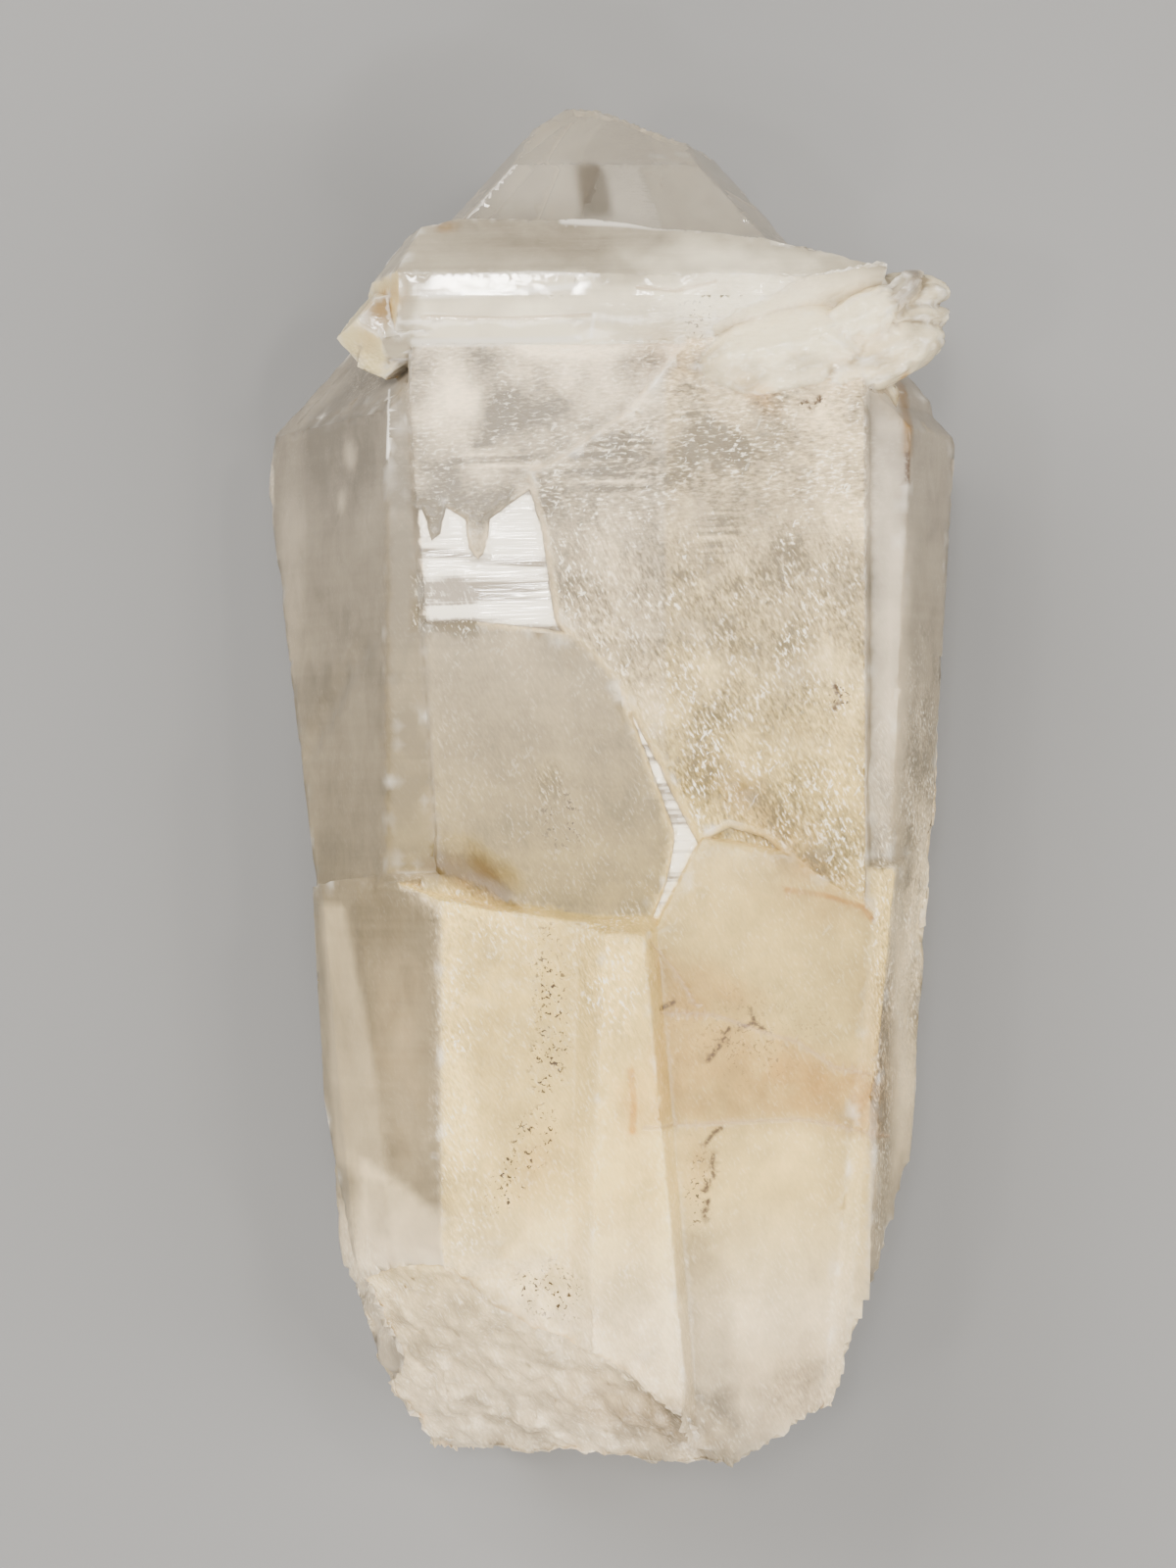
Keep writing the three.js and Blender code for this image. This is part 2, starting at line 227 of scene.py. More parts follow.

# The growth-lined face carries on as rough stone to the right of its bright sliver. The fan of
# leaves is worn smooth, and every outer crystal edge is marked for wear, chips and painted highlights.
for facet in stone.faces:
    x, y, z = facet.calc_center_median()
    if facet[surface_layer] == SURFACES.index("window") and y < 5 and x > 12.6:
        facet[surface_layer] = SURFACES.index("rough")
lobe_corners = [
    v for v in stone.verts
    if v.link_faces and all(f[surface_layer] == SURFACES.index("lobe") for f in v.link_faces)
]
for _ in range(2):
    bmesh.ops.smooth_vert(
        stone, verts=lobe_corners, factor=0.4, use_axis_x=True, use_axis_y=True, use_axis_z=True
    )
edge_layer = stone.verts.layers.float.new("edge")
crease_layer = stone.verts.layers.float.new("crease")
for edge in stone.edges:
    turn = edge.calc_face_angle_signed(0)
    if abs(turn) > math.radians(20):
        for corner in edge.verts:
            corner[edge_layer if turn > 0 else crease_layer] = 1.0
for corner in stone.verts:
    if corner[edge_layer] == 0 and any(e.other_vert(corner)[edge_layer] == 1 for e in corner.link_edges):
        corner[edge_layer] = 0.4

stone.to_mesh(chunk_mesh)
stone.free()

# Relief: growth hillocks, etching, ripples on the broken ends, chips and shallow scoops, each
# sunk into the stone, so that nothing stands outside the crystals' true faces.
count = len(chunk_mesh.vertices)
places = np.empty(count * 3)
chunk_mesh.vertices.foreach_get("co", places)
places = places.reshape(-1, 3)
outwards = np.empty(count * 3)
chunk_mesh.vertex_normals.foreach_get("vector", outwards)
outwards = outwards.reshape(-1, 3)
edginess = np.empty(count)
chunk_mesh.attributes["edge"].data.foreach_get("value", edginess)
creased = np.empty(count)
chunk_mesh.attributes["crease"].data.foreach_get("value", creased)
facets = np.empty(len(chunk_mesh.polygons) * 3, dtype=int)
chunk_mesh.polygons.foreach_get("vertices", facets)
facets = facets.reshape(-1, 3)
facet_surface = np.empty(len(facets), dtype=int)
chunk_mesh.attributes["surface"].data.foreach_get("value", facet_surface)
facet_count = np.bincount(facets.ravel(), minlength=count)


def share(surface):
    """How much of the surface around each corner is of one kind, from 0 to 1."""
    of_kind = facets[facet_surface == SURFACES.index(surface)]
    return np.bincount(of_kind.ravel(), minlength=count) / facet_count


def grain(size, seed=0.0, stretch=(1, 1, 1)):
    """Smooth random unevenness from -1 to 1 with bumps of about `size` millimetres."""
    spread = places / (size * np.array(stretch)) + seed * 17.3
    return np.array([noise.noise(spot) for spot in spread.tolist()])


def oval(x, y, across, along, lean=0.0, ragged=0.35):
    """A soft patch seen from above, 1 in its middle and 0 outside, with a ragged rim."""
    t = math.radians(lean)
    dx, dy = places[:, 0] - x, places[:, 1] - y
    u = (dx * math.cos(t) + dy * math.sin(t)) / across
    v = (dy * math.cos(t) - dx * math.sin(t)) / along
    reach = np.sqrt(u * u + v * v) + ragged * wander
    return np.clip(1.25 - reach, 0, 1) * facing


def inside(corners, softness):
    """A patch with a clear outline, seen from above, whose rim is as soft as asked."""
    loop = corners + corners[:1]
    x, y = places[:, 0], places[:, 1]
    crossed = np.zeros(count, dtype=int)
    for (x0, y0), (x1, y1) in zip(loop[:-1], loop[1:]):
        level = (y0 > y) != (y1 > y)
        crossed += level & (x < x0 + (y - y0) * (x1 - x0) / (y1 - y0 or 1e-9))
    gap = np.where(crossed % 2 == 1, 1, -1) * to_line(places, loop)
    return np.clip(0.5 + gap / softness + 0.3 * wander, 0, 1) * facing


def ridged(size, seed):
    return 1 - 2 * np.abs(grain(size, seed))


facing = np.clip(outwards[:, 2] * 4 + 1, 0, 1) * (places[:, 2] > 24)
wander = grain(5, 3) + 0.6 * grain(2.1, 8)
FOOT = [
    (-34, -62), (-22.9, -58.9), (-13, -58.6), (-6, -60), (-0.2, -65.5), (5.3, -72.7), (14, -81),
    (14, -96), (-44, -96),
]

depth = 0.07 * edginess + edginess * 0.5 * np.clip(grain(1.3, 1) - 0.05, 0, 1)
depth += edginess * 1.3 * np.clip(grain(7, 2) - 0.42, 0, 1)
slant = math.radians(22)
swept = places.copy()
swept[:, 0] = places[:, 0] * math.cos(slant) + places[:, 1] * math.sin(slant)
swept[:, 1] = places[:, 1] * math.cos(slant) - places[:, 0] * math.sin(slant)
hillocks = np.array([noise.noise((x / 1.25, y / 3.2, z)) for x, y, z in swept.tolist()])
pits = grain(1.6, 5)
lower = np.clip((34 - places[:, 1]) / 18, 0, 1)
depth += share("rough") * (0.24 + 0.26 * (lower * hillocks + (1 - lower) * pits))
depth += share("frosted") * 0.09 * (1 + grain(1.5, 6))
broken = np.maximum(share("broken"), inside(FOOT, 5))
depth += broken * (0.95 + 0.8 * ridged(6.5, 4) + 0.36 * ridged(2.4, 7) + 0.16 * grain(1.1, 12))
depth += (share("ledge") + share("ridge")) * 0.09 * (1 + grain(1.8, 9))
rightwards = np.clip((places[:, 0] + 6) / 14, 0, 1)
depth += share("cross") * (0.1 * (1 + grain(3.5, 10)) + rightwards * 0.45 * (1 + grain(5, 13)))
depth += share("knob") * 0.1 * (1 + grain(3.5, 10))
fan = np.array([noise.noise((x / 5 + y / 9, y / 1.6 - x / 4, z / 3)) for x, y, z in places.tolist()])
depth += share("lobe") * (0.35 * (1 - np.abs(fan) * 2) + 0.1 * (1 + grain(1.3, 11)))

# Scoops and chips seen from above: place, reach and depth in millimetres.
SCOOPS = [
    (-16.8, -9, 6.6, 3, -24, 1.3),
    (-1.5, 61.5, 3, 1.4, 0, 0.3),
    (12, 60.5, 3.5, 4, 0, 0.35),
    (-31.9, 20.2, 1.5, 2.2, -30, 0.5),
    (-34.5, 17.3, 1.7, 2.2, -30, 0.6),
    (-36.5, 14, 1.5, 2.4, -35, 0.55),
    (-38.5, 10.7, 1.6, 2, -35, 0.6),
    (-40.3, 7.3, 1.3, 2, -35, 0.5),
    (-7.4, 2.8, 1.9, 2.5, 10, 0.14),
    (-20.3, 27, 3, 3.2, 0, 0.4),
    (-3.2, 18.8, 2.2, 2, 0, 0.25),
    (44.5, -5, 2, 3, 0, 0.8),
    (43.1, -16, 2.2, 4, 5, 0.9),
    (40.9, -28, 1.6, 5, 0, 0.8),
]
for x, y, across, along, lean, hollow in SCOOPS:
    depth += hollow * oval(x, y, across, along, lean, 0.25)
for kind, half_width, line in MARKS:
    if kind == "crack":
        near = np.clip(1 - to_line(places, line) / half_width, 0, 1)
        depth += 0.2 * near * facing

depth = np.clip(depth, 0, 2.4)
underneath = places[:, 2] < 0.02
depth[underneath] = 0
places_after = np.clip(places - outwards * depth[:, None], *(np.array(cad_box) / MM))

# Each surface: how milky and how etched it is, how far growth lines show, and its roughness
TONES = {
    "side": (0.1, 0.04, 0.01, 0.3),
    # The window's near-white milk is a painted reflection of the light on its mirror-bright face, added to
    # the face panel's real reflection; its growth lines are real.
    "window": (0.9, 0, 1.0, 0.12),
    "frosted": (0.23, 0.5, 0, 0.25),
    "smooth": (0.13, 0.13, 0.01, 0.42),
    "rough": (0.37, 0.9, 0, 0.2),
    "ledge": (0.58, 0.28, 0, 0.26),
    "ridge": (0.78, 0.3, 0, 0.24),
    "slab": (0.42, 0.16, 0.01, 0.3),
    "strip": (0.02, 0.03, 0.01, 0.5),
    "step": (0.6, 0.3, 0, 0.4),
    "broken": (0.5, 0.35, 0, 0.25),
    "tip": (0.82, 0.0, 0, 0.03),
    "cross": (0.24, 0.03, 0.03, 0.1),
    "knob": (0.75, 0.1, 0.02, 0.14),
    "lobe": (0.5, 0.15, 0, 0.14),
}
# Soft patches that change the stone from place to place, seen from above: middle, half width,
# half length, lean in degrees, and by how much.
PATCHES = {
    "milk": [
        (-20, 53, 5, 4.5, 30, 0.4),
        (-3, 56, 8, 5, -20, 0.4),
        (-10, 60.5, 6, 3, 0, 0.3),
        (14, 70, 13, 5, 0, 0.4),
        (22, 66, 16, 6, -10, 0.35),
        (-16, 39, 9, 3, 0, -0.4),
        (-21, 52, 4, 5, 20, 0.3),
        (30, 54, 7, 5, 30, 0.3),
        (-38, -58, 4, 9, 8, 0.3),
        (16, -86, 14, 5, 0, -0.35),
        (-18, 61.2, 4.6, 1.4, 0, 0.4),
        (-18, 66.8, 5, 1.6, -8, 0.4),
        (30, 44, 5, 9, 20, 0.3),
        (20, 53, 13, 5, 10, 0.3),
        (-19.5, -36, 2.4, 24, 3, 0.35),
        (2, -22, 4, 5, 0, 0.3),
        (-6, -52, 9, 12, 0, 0.35),
        (24, -58, 9, 16, 0, 0.15),
        (-33.8, 46.1, 0.9, 2.4, 10, 0.3),
        (-35.1, 40.5, 0.8, 2, 0, 0.25),
        (-10, 82, 5, 3, 30, 0.2),
        (-18, -13, 8, 2.6, -24, 0.5),
        (37, 20, 2.6, 40, 0, 0.3),
        (-33, -62, 5, 12, 10, 0.4),
        (40, -30, 3, 20, 0, 0.5),
        (43, -10, 3, 14, 0, 0.6),
        (-39, 57, 4, 3, 40, 0.15),
        (-44, 25, 2.4, 34, -3, 0.12),
        (-10, 50, 8, 4.5, -10, -0.25),
        (6, 43, 8, 6, 30, -0.15),
        (17, 47, 7, 5, 0, -0.2),
        (-36, 50, 7, 12, -8, -0.1),
        (-1.5, 81.5, 2.2, 3.6, 8, -0.5),
        (-6, 73, 17, 4, -3, -0.15),
        (10, -80, 9, 3, 0, -0.3),
        (10, -2, 2.5, 5, 0, 0.2),
        (31, 5, 3, 20, 0, 0.2),
        (25, -73, 10, 8, 0, -0.2),
        (4, -79, 12, 5, 0, -0.2),
        (13, 47, 12, 5, 0, -0.12),
        (-26, -35, 4, 16, 4, 0.12),
        (-41, -40, 3.4, 26, 4, 0.22),
    ],
    "etched": [
        (-19.5, -36, 2.6, 24, 3, 0.6),
        (-18, -13.6, 8, 2.6, -24, 0.8),
        (-1, -22, 3, 8, 0, 0.4),
        (2, -21, 4, 7, 0, 0.6),
        (-33, -64, 5, 10, 10, 0.5),
        (42, -14, 4, 30, 0, 0.9),
        (36, -24, 1.6, 34, 0, 0.8),
        (-7.4, 2.8, 1.9, 2.5, 10, 0.5),
        (16, 64, 14, 5, 10, 0.3),
        (-32, 57, 3, 3, 0, 0.5),
        (30, 44, 5, 9, 20, 0.3),
        (26, -76, 6, 5, 0, 0.3),
    ],
    "rust": [
        (-17, -9.5, 8.5, 3.2, -24, 0.25),
        (22, -3, 3.2, 13, 46, 0.45),
        (27, -12, 8, 4, -18, 0.3),
        (28, -36, 9, 5, -6, 0.3),
        (14, -24, 9, 3.4, -25, 0.5),
        (35, -34, 3, 12, 0, 0.4),
        (19.5, 53, 4, 1.8, -35, 0.7),
        (-29, 64.2, 2.4, 4.6, -30, 0.9),
        (-20.6, 75.4, 1.6, 1, 0, 0.9),
        (-27, -30, 5, 16, 4, 0.25),
        (33, 57, 6, 3, 30, 0.3),
        (3.4, -38, 1.8, 5, 0, 0.5),
        (8, 58, 5, 4, 0, 0.35),
        (12, -46, 2.4, 5, 0, 0.35),
        (-9, -46, 4, 6, -30, 0.3),
        (3, -80, 12, 5, -10, 0.3),
        (24, -76, 8, 8, 20, 0.25),
    ],
    "lined": [
        (1, 44, 6, 4, 0, 0.5),
        (-14, 44.5, 6, 2, 0, 0.4),
        (14, 34, 3, 6, -30, 0.25),
    ],
    "dull": [],
    "specks": [
        (-7.5, -22, 3, 9, 0, 0.6),
        (-7, -33, 2.6, 7, -6, 0.8),
        (-9.8, -43.6, 3.4, 5, -30, 1.0),
        (-12.6, -48.8, 2.6, 5, -35, 0.8),
        (-7.5, -63, 5, 5, -35, 0.7),
        (-6, -2, 4, 6, 0, 0.6),
        (30, 14, 1.6, 2, 0, 1.0),
        (26.6, 52.2, 2, 1.2, 0, 1.0),
        (18, -30, 14, 9, 0, 0.35),
        (11.5, 62, 3, 4, 0, 0.4),
        (12, -49, 2.4, 8, 0, 0.6),
    ],
}
# The same with a clear outline, which ends in half the width that follows the amount.
LIP = [(-23.6, -7.6), (-21.2, -6.3), (-16.3, -6.5), (-14, -9.2), (-11.1, -13.4), (-17, -11.6)]
BLISTER = [(-25, 30.5), (-22.5, 29), (-19.5, 30), (-17, 27), (-16.8, 22.5), (-25, 23)]
ZONES = {
    "milk": [
        (0.3, 1, [(-37.7, -13), (-34.2, -13), (-32.6, -22.9), (-30.8, -30.3), (-28.2, -49.1), (-36, -48)]),
        (0.14, 2.5, [(6, -42), (25, -41.4), (36, -43.6), (30, -70), (8, -78)]),
        (-0.7, 1.2, [(-3.9, 84.9), (-0.6, 84.8), (1.2, 77.8), (-3, 77.8)]),
        (0.45, 1.2, [(-22.1, 65.4), (-20.4, 67.9), (-1.8, 68.4), (-1, 66.6)]),
        (0.5, 2, [(-24.5, 59), (-24, 65.2), (0, 66.4), (36, 68), (40, 58)]),
        (0.5, 1.4, [(-32, -46.5), (-27.7, -48.3), (-21, -52.9), (-20.5, -61), (-33, -61)]),
        (-0.2, 1.6, [(9.3, -55), (15.7, -55), (17, -80), (9.3, -76)]),
        (-0.5, 1, BLISTER),
        # Under the lip the hollow is made less milky, so darker: painted shade below the overhang, besides
        # the lip's rust stain.
        (-0.25, 1.2, LIP),
    ],
    "etched": [
        (0.7, 1, BLISTER),
    ],
    "dull": [
        (0.4, 1, BLISTER),
    ],
    "rust": [
        (0.45, 1.2, LIP),
        (0.5, 3, [(7, -20), (14, -27), (25, -31), (34.5, -35.5), (36, -43), (25, -40.8), (5, -41)]),
    ],
}


def paint(name, amount):
    attribute = chunk_mesh.attributes.new(name, "FLOAT", "POINT")
    attribute.data.foreach_set("value", np.clip(amount, 0, 1).astype(np.float32))


def patches(kind):
    amount = np.zeros(count)
    for x, y, across, along, lean, strength in PATCHES[kind]:
        amount += strength * oval(x, y, across, along, lean)
    for strength, softness, corners in ZONES.get(kind, []):
        amount += strength * inside(corners, softness)
    return amount


def drawn(kind):
    amount = np.zeros(count)
    for mark_kind, half_width, line in MARKS:
        if mark_kind == kind:
            near = np.clip(1.5 - to_line(places, line) / half_width, 0, 1)
            amount = np.maximum(amount, near * facing)
    return amount


def toned(number):
    return sum(share(surface) * tone[number] for surface, tone in TONES.items())


hidden = 1 - facing
grown_across = np.minimum(share("cross") + share("knob") + share("lobe"), 1)
# Painted shade in the concave creases of the crossing crystals, knob and leaves: there the stone is made
# less milky, so darker, and a little rust colour is laid in.
crevice_shade_and_rust = creased * grown_across
uneven = share("frosted") * 0.5 * grain(4.4, 31) + share("rough") * 0.35 * grain(6, 32)
uneven += broken * 0.3 * ridged(5, 34) + share("lobe") * 0.5 * fan
uneven += (share("slab") + share("ledge") + share("ridge")) * (0.12 * grain(9, 35) + 0.1 * grain(2, 36))
milk = toned(0) + patches("milk") + hidden * (0.25 + 0.35 * grain(14, 22)) + 0.06 * grain(9, 26)
# Less milk in the creases is painted shade.
paint("milk", milk + uneven - 0.35 * crevice_shade_and_rust)
scarred = share("rough") * 0.7 * grain(5, 33)
paint("etched", toned(1) + scarred + patches("etched") + 0.25 * hidden * (grain(12, 27) > 0.1))
paint("lined", toned(2) + patches("lined"))
paint("dull", toned(3) + patches("dull"))
up_the_stone, cream = [-90, -66, -50, -12, 10, 40, 52, 76], [0.3, 0.5, 0.95, 1, 0.7, 0.3, 0.25, 0.2]
warm = 0.15 * share("lobe") + 0.45 * share("knob") + 0.2 * share("rough") * (places[:, 0] > 8)
# Cream is taken out of the window for the silver white of its painted reflection, and half out of the
# sides.
cool = 0.5 * share("side") + 0.8 * share("window")
paint("cream", np.interp(places[:, 1], up_the_stone, cream) * (1 - cool) + warm)
rust = np.maximum(patches("rust"), hidden * np.clip(grain(14, 21) * 1.5 - 0.4, 0, 0.4))
paint("rust", np.maximum(rust, drawn("rust")) + 0.2 * crevice_shade_and_rust)
specks = np.maximum(patches("specks"), hidden * np.clip(grain(10, 24) * 2 - 0.5, 0, 0.5))
paint("specks", specks)
paint("iron", drawn("iron"))
paint("crack", drawn("crack"))
# Outer edges get painted highlights, strongest on the crossing crystals and the tip, mixed with white
# nicks where they are worn.
nicks = grain(2.2, 25) * 1.5 - 0.3 + 0.7 * (grown_across + share("tip"))
worn_and_highlit = edginess * np.clip(nicks, 0, 0.8)
paint("bright", np.maximum(drawn("bright"), worn_and_highlit))

chunk_mesh.vertices.foreach_set("co", (places_after * MM).ravel())
chunk_mesh.update()
chunk_mesh.shade_smooth()
chunk_mesh.set_sharp_from_angle(angle=math.radians(24))


# What quartz looks like: effects that every surface of it shares, as node groups.
def new_group(name, inputs, outputs):
    tree = bpy.data.node_groups.new(name, "ShaderNodeTree")
    for socket, kind in inputs:
        tree.interface.new_socket(socket, in_out="INPUT", socket_type=kind)
    for socket, kind in outputs:
        tree.interface.new_socket(socket, in_out="OUTPUT", socket_type=kind)
    return tree, tree.nodes.new("NodeGroupInput"), tree.nodes.new("NodeGroupOutput")


def put(tree, kind, **settings):
    node = tree.nodes.new(kind)
    for key, value in settings.items():
        setattr(node, key, value)
    return node


def sums(tree, operation, first, second, clamp=False):
    node = put(tree, "ShaderNodeMath", operation=operation, use_clamp=clamp)
    for socket, value in zip(node.inputs, (first, second)):
        if isinstance(value, (int, float)):
            socket.default_value = value
        else:
            tree.links.new(value, socket)
    return node.outputs[0]


def ramp(tree, value, low, high, to_low=0.0, to_high=1.0):
    node = put(tree, "ShaderNodeMapRange", interpolation_type="SMOOTHSTEP")
    tree.links.new(value, node.inputs["Value"])
    for socket, number in zip(("From Min", "From Max", "To Min", "To Max"), (low, high, to_low, to_high)):
        node.inputs[socket].default_value = number
    return node.outputs[0]


def blend(tree, amount, first, second, blend_type="MIX"):
    node = put(tree, "ShaderNodeMix", data_type="RGBA", blend_type=blend_type)
    for socket, value in zip((node.inputs[0], node.inputs[6], node.inputs[7]), (amount, first, second)):
        if isinstance(value, (int, float)):
            socket.default_value = value
        elif isinstance(value, tuple):
            socket.default_value = (*value, 1)
        else:
            tree.links.new(value, socket)
    return node.outputs[2]


def object_place(tree, stretch=(1, 1, 1), turn=0.0):
    """The place on the stone, with a pattern's features stretched along a turned direction."""
    place = put(tree, "ShaderNodeTexCoord").outputs["Object"]
    mapping = put(tree, "ShaderNodeMapping", vector_type="TEXTURE")
    mapping.inputs["Scale"].default_value = stretch
    mapping.inputs["Rotation"].default_value = (0, 0, math.radians(turn))
    tree.links.new(place, mapping.inputs["Vector"])
    return mapping.outputs[0]


def cloudy(tree, place, size, detail=3.0, distortion=0.0):
    node = put(tree, "ShaderNodeTexNoise")
    node.inputs["Scale"].default_value = 1 / (size * MM)
    node.inputs["Detail"].default_value = detail
    node.inputs["Distortion"].default_value = distortion
    tree.links.new(place, node.inputs["Vector"])
    return node.outputs["Fac"]


def painted(tree, name):
    return put(tree, "ShaderNodeAttribute", attribute_name=name).outputs["Fac"]


def times(tree, first, second):
    return sums(tree, "MULTIPLY", first, second)


def veils():
    """Milky veils and clear depths inside the stone: 0 is clear, 1 is milky."""
    tree, start, end = new_group("veils", [], [("Milk", "NodeSocketFloat")])
    broad = cloudy(tree, object_place(tree), 11, 3, 0.8)
    wisps = cloudy(tree, object_place(tree, (1, 1.8, 1), 12), 3.4, 5, 1.2)
    strength = sums(tree, "ADD", times(tree, painted(tree, "etched"), 0.6), 0.16)
    wisps = times(tree, sums(tree, "ADD", wisps, -0.5), strength)
    milk = painted(tree, "milk")
    clouds = times(tree, sums(tree, "ADD", broad, -0.5), sums(tree, "ADD", times(tree, milk, 0.8), 0.12))
    level = sums(tree, "ADD", sums(tree, "ADD", clouds, wisps), milk, True)
    tree.links.new(level, end.inputs["Milk"])
    return tree


def iron():
    """Rust film, orange and brown iron marks, dark specks and healed cracks, with the painted highlights
    of the bright marks and edges, laid over the stone's colour.
    """
    sockets = [("Colour", "NodeSocketColor")]
    tree, start, end = new_group("iron", sockets, sockets)
    place = object_place(tree)
    film = ramp(tree, cloudy(tree, place, 3.2, 5, 0.5), 0.25, 0.7, 0.6, 1)
    film = times(tree, painted(tree, "rust"), film)
    colour = blend(tree, film, start.outputs["Colour"], (0.7, 0.49, 0.23), "MULTIPLY")
    dots = ramp(tree, cloudy(tree, place, 0.5, 2, 0.5), 0.59, 0.62)
    chosen = ramp(tree, cloudy(tree, place, 1.9, 3), 0.43, 0.47)
    chosen = times(tree, chosen, ramp(tree, painted(tree, "specks"), 0.1, 0.55))
    dots = times(tree, dots, chosen)
    colour = blend(tree, dots, colour, (0.07, 0.045, 0.022))
    flecked = ramp(tree, cloudy(tree, place, 0.5, 2), 0.35, 0.55, 0.35, 1)
    marks = times(tree, painted(tree, "iron"), flecked)
    colour = blend(tree, times(tree, marks, 0.95), colour, (0.08, 0.045, 0.022))
    colour = blend(tree, times(tree, painted(tree, "crack"), 0.4), colour, (0.45, 0.3, 0.17))
    # Painted highlight: near white along the bright marks and the highlit edges.
    colour = blend(tree, times(tree, painted(tree, "bright"), 0.7), colour, (0.97, 0.93, 0.84))
    tree.links.new(colour, end.inputs["Colour"])
    return tree


def growth_lines():
    """Fine steps across a prism face, at right angles to the crystal's length."""
    tree, start, end = new_group("growth_lines", [], [("Height", "NodeSocketFloat")])
    fine = cloudy(tree, object_place(tree, (30, 1, 30), 1.5), 0.9, 2)
    broad = cloudy(tree, object_place(tree, (16, 1, 16), -1), 3, 2)
    height = sums(tree, "ADD", fine, times(tree, broad, 1.6))
    tree.links.new(height, end.inputs["Height"])
    return tree


def frosting():
    """Etched pits, which throw real glints through the bump, and painted glints over them, warm white
    laid into the colour: short dashes across the face towards the tip, and long slanting ones below."""
    outputs = [("Height", "NodeSocketFloat"), ("Glint", "NodeSocketFloat")]
    tree, start, end = new_group("frosting", [], outputs)
    height = put(tree, "ShaderNodeSeparateXYZ")
    tree.links.new(object_place(tree), height.inputs[0])
    dashes = cloudy(tree, object_place(tree, (2.6, 1, 1), 4), 0.34, 3, 0.3)
    slanting = cloudy(tree, object_place(tree, (2.6, 1, 1), -62), 0.34, 3, 0.3)
    side = put(tree, "ShaderNodeMix")
    tree.links.new(ramp(tree, height.outputs["Y"], 0.028, 0.044), side.inputs[0])
    tree.links.new(slanting, side.inputs[2])
    tree.links.new(dashes, side.inputs[3])
    pits = side.outputs[0]
    painted_glints = ramp(tree, pits, 0.55, 0.66)
    groups = ramp(tree, cloudy(tree, object_place(tree, (1, 2.4, 1), -28), 3.6, 6), 0.4, 0.62, 0.06, 1)
    larger = ramp(tree, cloudy(tree, object_place(tree, (1, 2.4, 1), -28), 0.7, 2), 0.66, 0.72)
    tree.links.new(pits, end.inputs["Height"])
    painted_glints = sums(tree, "ADD", painted_glints, larger, True)
    tree.links.new(times(tree, painted_glints, groups), end.inputs["Glint"])
    return tree


veils_group = veils()
stains_and_highlights_group = iron()
lines_group = growth_lines()
frosting_group = frosting()


def quartz(name, deep, pale, see_through, milkiness):
    """One finish of the stone, from its clear depths to its milky veils."""
    material = bpy.data.materials.new(name)
    material.use_nodes = True
    tree = material.node_tree
    shader = tree.nodes["Principled BSDF"]

    def effect(group):
        return put(tree, "ShaderNodeGroup", node_tree=group)

    level = effect(veils_group).outputs["Milk"]
    frost = effect(frosting_group)
    etched = painted(tree, "etched")
    lined = painted(tree, "lined")
    steps = effect(lines_group).outputs["Height"]
    grained = times(tree, sums(tree, "ADD", frost.outputs["Height"], -0.54), times(tree, etched, 1.5))
    stepped = times(tree, sums(tree, "ADD", steps, -1.3), times(tree, lined, 6.0))
    level = sums(tree, "ADD", level, sums(tree, "ADD", grained, stepped), True)
    colour = blend(tree, level, deep, pale)
    colour = blend(tree, painted(tree, "cream"), colour, (1, 0.84, 0.34), "MULTIPLY")
    # Painted glints: warm white laid into the colour where the frosting pattern glints on etched stone.
    painted_glints = times(tree, frost.outputs["Glint"], times(tree, etched, 0.85))
    colour = blend(tree, painted_glints, colour, (1, 0.94, 0.78))
    stained_and_highlit = effect(stains_and_highlights_group)
    tree.links.new(colour, stained_and_highlit.inputs["Colour"])
    tree.links.new(stained_and_highlit.outputs["Colour"], shader.inputs["Base Color"])
    tree.links.new(painted(tree, "dull"), shader.inputs["Roughness"])
    pits = times(tree, times(tree, frost.outputs["Height"], etched), 0.8)
    lines = times(tree, lined, steps)
    bump = put(tree, "ShaderNodeBump")
    bump.inputs["Strength"].default_value = 0.4
    bump.inputs["Distance"].default_value = 0.001
    tree.links.new(sums(tree, "ADD", times(tree, lines, 0.7), pits), bump.inputs["Height"])
    tree.links.new(bump.outputs["Normal"], shader.inputs["Normal"])
    shader.inputs["IOR"].default_value = 1.544
    shader.inputs["Transmission Weight"].default_value = see_through
    shader.inputs["Subsurface Weight"].default_value = milkiness
    shader.inputs["Subsurface Radius"].default_value = (0.004, 0.0035, 0.0027)
    shader.inputs["Subsurface Scale"].default_value = 1.0
    return material


FINISHES = {
    "side": quartz("milky_quartz", (0.165, 0.144, 0.117), (0.97, 0.84, 0.67), 0.08, 0.25),
    "window": quartz("mirror_quartz", (0.3, 0.26, 0.21), (1, 0.94, 0.83), 0.0, 0.1),
    "cross": quartz("half_clear_quartz", (0.24, 0.21, 0.17), (1, 0.94, 0.8), 0.2, 0.15),
    "tip": quartz("clear_quartz", (0.32, 0.29, 0.26), (1, 0.96, 0.9), 0.75, 0.0),
}
SAME_FINISH = {"knob": "cross", "lobe": "cross"}
slots = {}
for number, (surface, material) in enumerate(FINISHES.items()):
    chunk_mesh.materials.append(material)
    slots[surface] = number
facet_slot = np.array([
    slots.get(SAME_FINISH.get(surface, surface), slots["side"]) for surface in SURFACES
])
chunk_mesh.polygons.foreach_set("material_index", facet_slot[facet_surface])

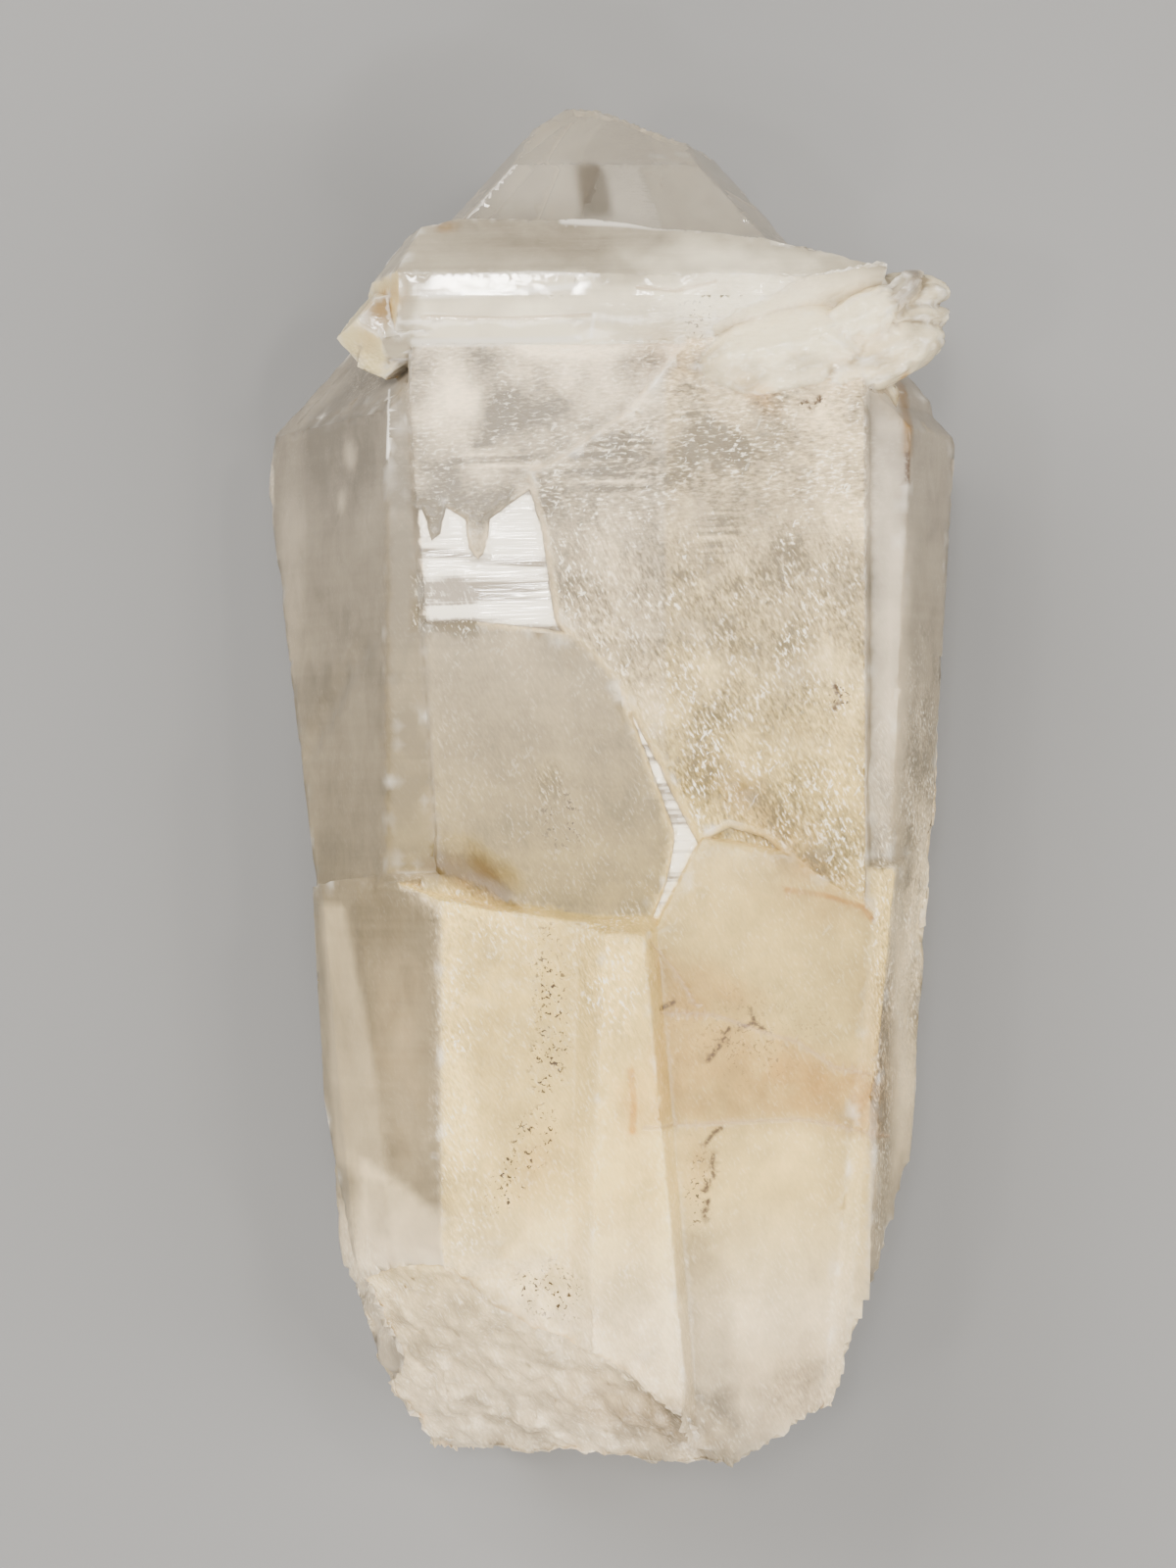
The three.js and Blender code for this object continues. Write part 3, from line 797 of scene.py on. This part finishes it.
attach(chunk, "root")
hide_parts("quartz_chunk")

# The table is a plain pale floor, level with the face that the chunk rests on.
bpy.ops.mesh.primitive_plane_add(size=4, location=(0, 0, -0.0005))
floor = bpy.context.object
floor.name = "floor"
paper = bpy.data.materials.new("paper")
paper.use_nodes = True
paper.node_tree.nodes["Principled BSDF"].inputs["Base Color"].default_value = (0.2, 0.203, 0.206, 1)
paper.node_tree.nodes["Principled BSDF"].inputs["Roughness"].default_value = 0.8
floor.data.materials.append(paper)


# Soft studio light: broad panels and a smaller one that the growth-lined face mirrors.
def panel(name, location, size, power):
    light = bpy.data.lights.new(name, "AREA")
    light.shape = "RECTANGLE"
    light.size, light.size_y = size
    light.energy = power
    light.color = (1, 0.95, 0.88)
    lamp = bpy.data.objects.new(name, light)
    bpy.context.collection.objects.link(lamp)
    lamp.location = location
    lamp.rotation_euler = (Vector((0, 0, 0.03)) - Vector(location)).to_track_quat("-Z", "Y").to_euler()


panel("upper_left_panel", (-0.55, 0.5, 0.75), (0.6, 0.6), 13.5)
panel("right_panel", (0.7, -0.1, 0.6), (0.5, 0.8), 7.8)
panel("foot_panel", (0.1, -0.8, 0.5), (0.8, 0.4), 8.3)
panel("face_panel", (-0.036, 0.078, 0.66), (0.05, 0.056), 1.6)
for number, (x, y) in enumerate([(0.2, 0.12), (-0.22, -0.06), (0.06, -0.3), (-0.12, 0.33), (0.3, -0.2)]):
    panel(f"spark_{number + 1}", (x, y, 0.62), (0.05, 0.05), 0.7)

world = bpy.data.worlds.new("studio")
bpy.context.scene.world = world
world.use_nodes = True
world.node_tree.nodes["Background"].inputs["Color"].default_value = (0.9, 0.88, 0.85, 1)
world.node_tree.nodes["Background"].inputs["Strength"].default_value = 0.35

# The camera looks straight down, with the tip at the top of the picture.
view = bpy.data.cameras.new("camera")
view.sensor_width = 36
view.lens = 69.23
camera = bpy.data.objects.new("camera", view)
bpy.context.collection.objects.link(camera)
camera.location = (-0.0023, 0.0028, 0.445)
bpy.context.scene.camera = camera
